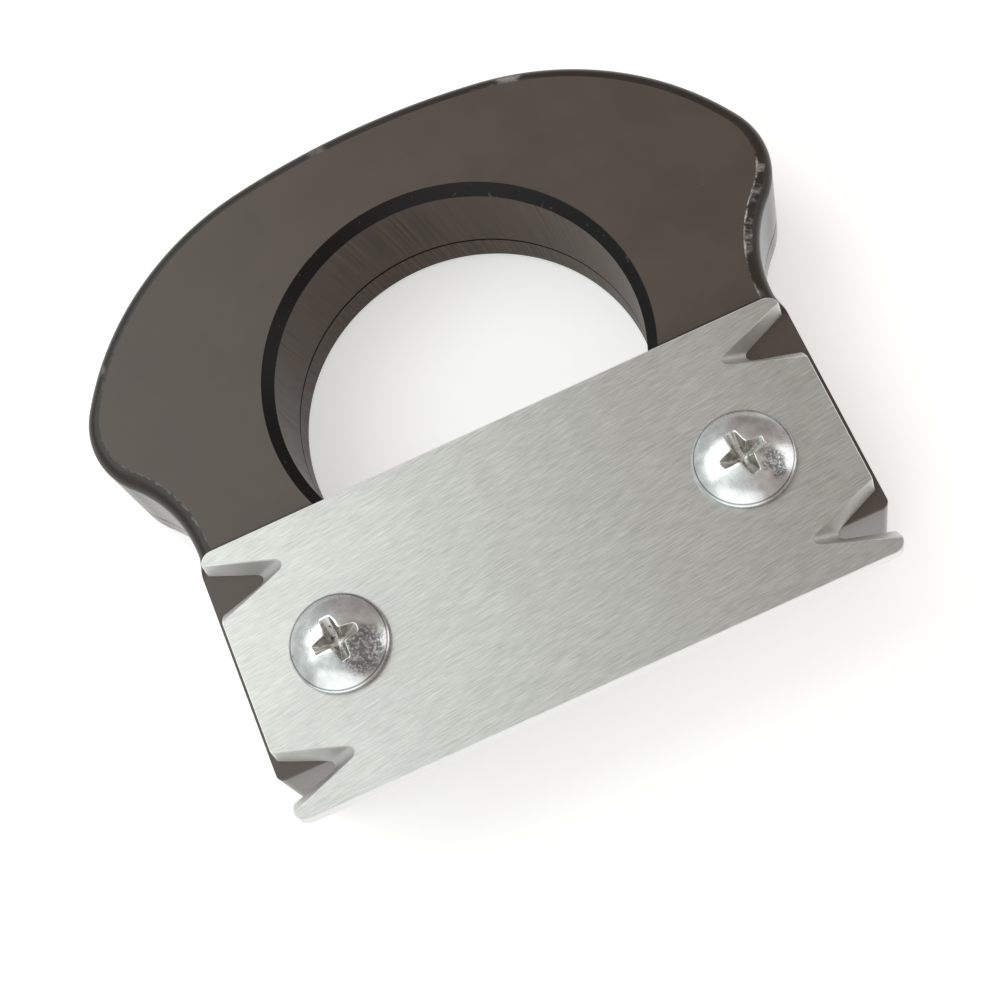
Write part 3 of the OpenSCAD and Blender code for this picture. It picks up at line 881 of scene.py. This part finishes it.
def cross_loop(reach, wing, turn, angles):
    """Loop of a cross recess: the farther of two crossed bars along each heading. A bar's half thickness is
    wing at its ends and grows by the flare per length towards the middle, so it reaches
    min(reach / |cos|, (wing + flare reach) / (|sin| + flare |cos|)). Power means stand for min and max, which
    rounds the corners, and a sum of sines wavers the worn brink."""
    c, s = (np.maximum(np.abs(wave(angles - turn)), 1e-3) for wave in (np.cos, np.sin))
    root = wing + RECESS_FLARE * reach
    inner, outer, shake = 16, 12, 0.011

    def bar(c, s):
        return ((c / reach) ** inner + ((s + RECESS_FLARE * c) / root) ** inner) ** (-1 / inner)

    far = (bar(c, s) ** outer + bar(s, c) ** outer) ** (1 / outer)
    waver = shake * sum(np.sin(k * angles + k * k * turn) for k in (5, 11, 17))
    return ((1.0 + waver) * far)[:, None] * circle(angles)


class TRIMMER_OT_screws(bpy.types.Operator):
    """Builds the two truss-head screws with their cross recess and thread"""

    bl_idname = "trimmer.screws"
    bl_label = "Screws"

    def head(self, skin, props, centre, turn):
        """Head from the recess out: a tapering cross with a raised burr, then the dome
        z = h - R + sqrt(R^2 - r^2) between the cross and the rim circle, the rim band, and the flat
        underside."""
        angles = clockwise(HEAD_POINTS)
        ring = circle(angles)
        rise = props.head_height - props.rim
        dome = (props.head_radius**2 + rise**2) / (2 * rise)

        def over(flat):
            return props.head_height - dome + np.sqrt(dome**2 - np.sum(flat**2, axis=-1))

        reach, wing = props.recess_reach, props.recess_wing
        top = cross_loop(reach, wing, turn, angles)
        wide = cross_loop(reach + BURR_WIDTH, wing + BURR_WIDTH, turn, angles)
        foot = cross_loop(*RECESS_FOOT, turn, angles)
        floor_z = props.head_height - props.recess_depth
        share = np.array([0.0, 0.35, 0.7, 1.0])[:, None, None]
        wall = foot + share * (top - foot)
        wall_z = floor_z + share[:, :, 0] * (over(top) - BURR_LIP - floor_z)
        spread = join([0.0], np.linspace(0.12, 1.0, 14))[:, None, None]
        edge = props.head_radius - RIM_ROUND
        skirt = wide + spread * (edge * ring - wide)
        skirt_z = over(skirt)
        skirt_z[0] += BURR_RISE
        bend = np.radians([40.0, 70.0, 90.0])
        under = [props.head_radius, props.head_radius - RIM_BREAK, props.shank_radius]
        band = join(edge + RIM_ROUND * np.sin(bend), under)
        band_z = join(skirt_z[-1].mean() - RIM_DROP * (1 - np.cos(bend)), [RIM_BREAK, 0.0, 0.0])
        flat = join(wall, skirt, band[:, None, None] * ring)
        z = join(wall_z, skirt_z, np.broadcast_to(band_z[:, None], (len(band_z), HEAD_POINTS)))
        rings = lift(flat + centre, BLADE_Z + z)
        bands = [1] * 3 + [2] + [0] * (len(rings) - 5)
        made = skin.grid(rings[:, ::-1], bands)
        skin.pole(made[0], (*centre, BLADE_Z + floor_z - RECESS_TIP), UP, 1)
        return made[-1]

    def shank(self, skin, props, centre):
        """Threaded shank: radius = crest - depth times a flat-topped triangle wave of (z / pitch - a / 2 pi),
        fading out under the head and at the tip, which ends in a chamfer."""
        a = -clockwise(SHANK_POINTS)
        reach = BLADE_Z - TIP_Z
        run = np.linspace(0.0, reach, int(reach / props.thread_pitch * RINGS_PER_TURN))[:, None]
        phase = (run / props.thread_pitch + a / (2 * math.pi)) % 1.0
        wave = np.clip(1.25 * (1.0 - np.abs(2.0 * phase - 1.0)) - 0.12, 0.0, 1.0)
        fade = smooth_step(run, 0.3 * MM, 1.2 * MM) * smooth_step(reach - run, 0.0, 0.9 * MM)
        radius = props.shank_radius - props.thread_depth * (wave * fade + PLAIN_DEPTH * (1.0 - fade))
        radius -= TIP_CHAMFER * (1.0 - smooth_step(reach - run, 0.0, 0.6 * MM))
        made = skin.grid(lift(centre + radius[:, :, None] * circle(a), BLADE_Z - run), 0)
        skin.pole(made[-1][::-1], (*centre, TIP_Z), DOWN, 0)
        return made[0]

    def execute(self, context):
        props = context.scene.trimmer_screws
        dull = zinc("screw_recess", props.recess_colour, props.wear_and_shade_colour, 0.28, 0.26)
        burr = zinc("screw_burr", props.burr_colour, times(props.colour, 0.6), 0.10, 0.16)
        for name, side, turn, stain in (("left", -1, props.turn_left, props.stain_left),
                                        ("right", 1, props.turn_right, props.stain_right)):
            skin = Skin()
            centre = np.array([side * props.spacing / 2, BLADE_Y])
            seat = self.head(skin, props, centre, turn)
            skin.cap([seat, self.shank(skin, props, centre)], False, 0)
            bright = plated_head("screw_zinc_" + name, props, centre, stain)
            piece = skin.make("screw_" + name + "_turned", [bright, dull, burr])
            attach(piece, "screw_" + name)
            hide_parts("screw_" + name)
        return {"FINISHED"}


class TRIMMER_OT_nuts(bpy.types.Operator):
    """Gives the nuts inside the handle their finish"""

    bl_idname = "trimmer.nuts"
    bl_label = "Nuts"

    def execute(self, context):
        colour = context.scene.trimmer_nuts.colour
        plating = zinc("nut_zinc", colour, times(colour, 0.4), 0.2, 0.3)
        for name in ("nut_left", "nut_right"):
            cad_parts[name].data.materials[0] = plating
        return {"FINISHED"}


# Name, place, the point it faces, width, height, power and colour
LAMPS = (
    ("overhead_softbox", (-0.40, 0.38, 0.58), (-0.40, 0.38, 0.0), 0.70, 0.70, 2.2, (0.945, 1.0, 0.985)),
    ("front_softbox", (-0.50, -0.75, 0.50), (0.0, 0.0, 0.0), 1.40, 0.90, 2.6, (0.98, 1.0, 1.0)),
    ("side_softbox", (0.85, -0.10, 0.40), (0.0, 0.0, 0.0), 0.50, 0.50, 0.9, (0.98, 1.0, 1.0)),
)
COOL_LIGHT, WARM_LIGHT, WHITE = (0.955, 1.0, 0.985), (1.0, 0.89, 0.84), (1.0, 1.0, 0.985)
FLOOR_GAP = 0.2 * MM


class TRIMMER_OT_stage(bpy.types.Operator):
    """Sets the floor, the soft lights, the surroundings and the camera"""

    bl_idname = "trimmer.stage"
    bl_label = "Stage"

    def floor(self, props):
        """A pale card that keeps the shadow, and is plain white in reflections and far from the object."""
        half, z = props.floor_size / 2, -FLOOR_GAP
        mesh = bpy.data.meshes.new("floor")
        corners = [(-half, -half, z), (half, -half, z), (half, half, z), (-half, half, z)]
        mesh.from_pydata(corners, [], [(0, 1, 2, 3)])
        made, place, _ = material("floor_card")
        tree = made.node_tree
        camera, glossy, through = (
            put(tree, "LightPath", f"Is {ray} Ray") for ray in ("Camera", "Glossy", "Transmission")
        )
        glow, white = (
            put(tree, "Emission", 0, {"Color": WHITE, "Strength": strength})
            for strength in (camera * props.floor_lift, 1.0)
        )
        matt = put(tree, "BsdfDiffuse", 0, {"Color": props.floor_colour})
        near = put(tree, "AddShader", 0, {0: matt, 1: glow})
        away = place.far((0.0, 0.0, 0.0)).ramp(0.30, 1.10)
        plain = glossy.most(through).most(away * camera)
        surface = put(tree, "MixShader", 0, {0: plain, 1: near, 2: white})
        put(tree, "OutputMaterial", None, {"Surface": surface})
        mesh.materials.append(made)
        place_object("floor", mesh)

    def lamp(self, name, place, aim, width, height, power, colour):
        data = bpy.data.lights.new(name, "AREA")
        data.shape, data.size, data.size_y = "RECTANGLE", width, height
        data.energy, data.color = power, colour
        lamp = place_object(name, data)
        lamp.location = place
        lamp.rotation_euler = (Vector(aim) - Vector(place)).to_track_quat("-Z", "Y").to_euler()

    def surroundings(self):
        """A soft room, brighter above, cool and bright to the left, warm and dim to the right."""
        world = bpy.data.worlds.new("studio")
        bpy.context.scene.world = world
        world.use_nodes = True
        tree = world.node_tree
        tree.nodes.clear()
        way = put(tree, "TexCoord", "Generated")
        x, z = way.axis(0), way.axis(2)
        level = z.ramp(0.0, 0.9, 0.42, 0.60) * x.ramp(-0.5, 0.35, 1.25, 0.72)
        camera = put(tree, "LightPath", "Is Camera Ray")
        tint = camera.blend(x.ramp(-0.3, 0.18).blend(COOL_LIGHT, WARM_LIGHT), WHITE)
        back = put(tree, "Background", 0, {"Color": tint, "Strength": level.most(camera)})
        put(tree, "OutputWorld", None, {"Surface": back})

    def camera(self, props):
        data = bpy.data.cameras.new("camera")
        data.lens, data.sensor_width = props.focal, 36.0
        data.clip_start, data.clip_end = 0.01, 20.0
        camera = place_object("camera", data)
        turn = Euler((props.camera_tilt, props.camera_pan, props.camera_roll), "ZYX")
        camera.matrix_world = Matrix.LocRotScale(props.camera_place, turn, None)
        bpy.context.scene.camera = camera

    def execute(self, context):
        props = context.scene.trimmer_stage
        self.floor(props)
        for lamp in LAMPS:
            self.lamp(*lamp)
        self.surroundings()
        self.camera(props)
        context.scene.view_settings.view_transform = "Standard"
        return {"FINISHED"}


class TRIMMER_PT_panel(bpy.types.Panel):
    """Lists the trimmer's pieces and their sizes"""

    bl_idname = "TRIMMER_PT_panel"
    bl_label = "Trimmer"
    bl_space_type = "VIEW_3D"
    bl_region_type = "UI"
    bl_category = "Trimmer"

    def draw(self, context):
        for name in PIECES:
            box = self.layout.box()
            box.operator("trimmer." + name)
            props = getattr(context.scene, "trimmer_" + name)
            for key in props.__annotations__:
                box.prop(props, key)


PIECES = ("handle", "blade", "screws", "nuts", "stage")
GROUPS = (TrimmerHandle, TrimmerBlade, TrimmerScrews, TrimmerNuts, TrimmerStage)
OPERATORS = (TRIMMER_OT_handle, TRIMMER_OT_blade, TRIMMER_OT_screws, TRIMMER_OT_nuts, TRIMMER_OT_stage)


def register():
    for cls in (*GROUPS, *OPERATORS, TRIMMER_PT_panel):
        bpy.utils.register_class(cls)
    for name, cls in zip(PIECES, GROUPS):
        setattr(bpy.types.Scene, "trimmer_" + name, bpy.props.PointerProperty(type=cls))


def unregister():
    for name in PIECES:
        delattr(bpy.types.Scene, "trimmer_" + name)
    for cls in (TRIMMER_PT_panel, *reversed(OPERATORS), *reversed(GROUPS)):
        bpy.utils.unregister_class(cls)


def main():
    register()
    vector, number = "NodeSocketVector", "NodeSocketFloat"
    at = ("Vector", vector, (0.0, 0.0, 0.0))
    group("cut_lines", [at, ("Stretch", vector, (1.0, 1.0, 1.0))], cut_lines)
    group("specks", [at, ("Scale", number, 1000.0), ("Amount", number, 0.1)], sparse_specks)
    bpy.ops.trimmer.handle()
    bpy.ops.trimmer.blade()
    bpy.ops.trimmer.screws()
    bpy.ops.trimmer.nuts()
    bpy.ops.trimmer.stage()
    bpy.context.view_layer.update()


if __name__ == "__main__":
    main()
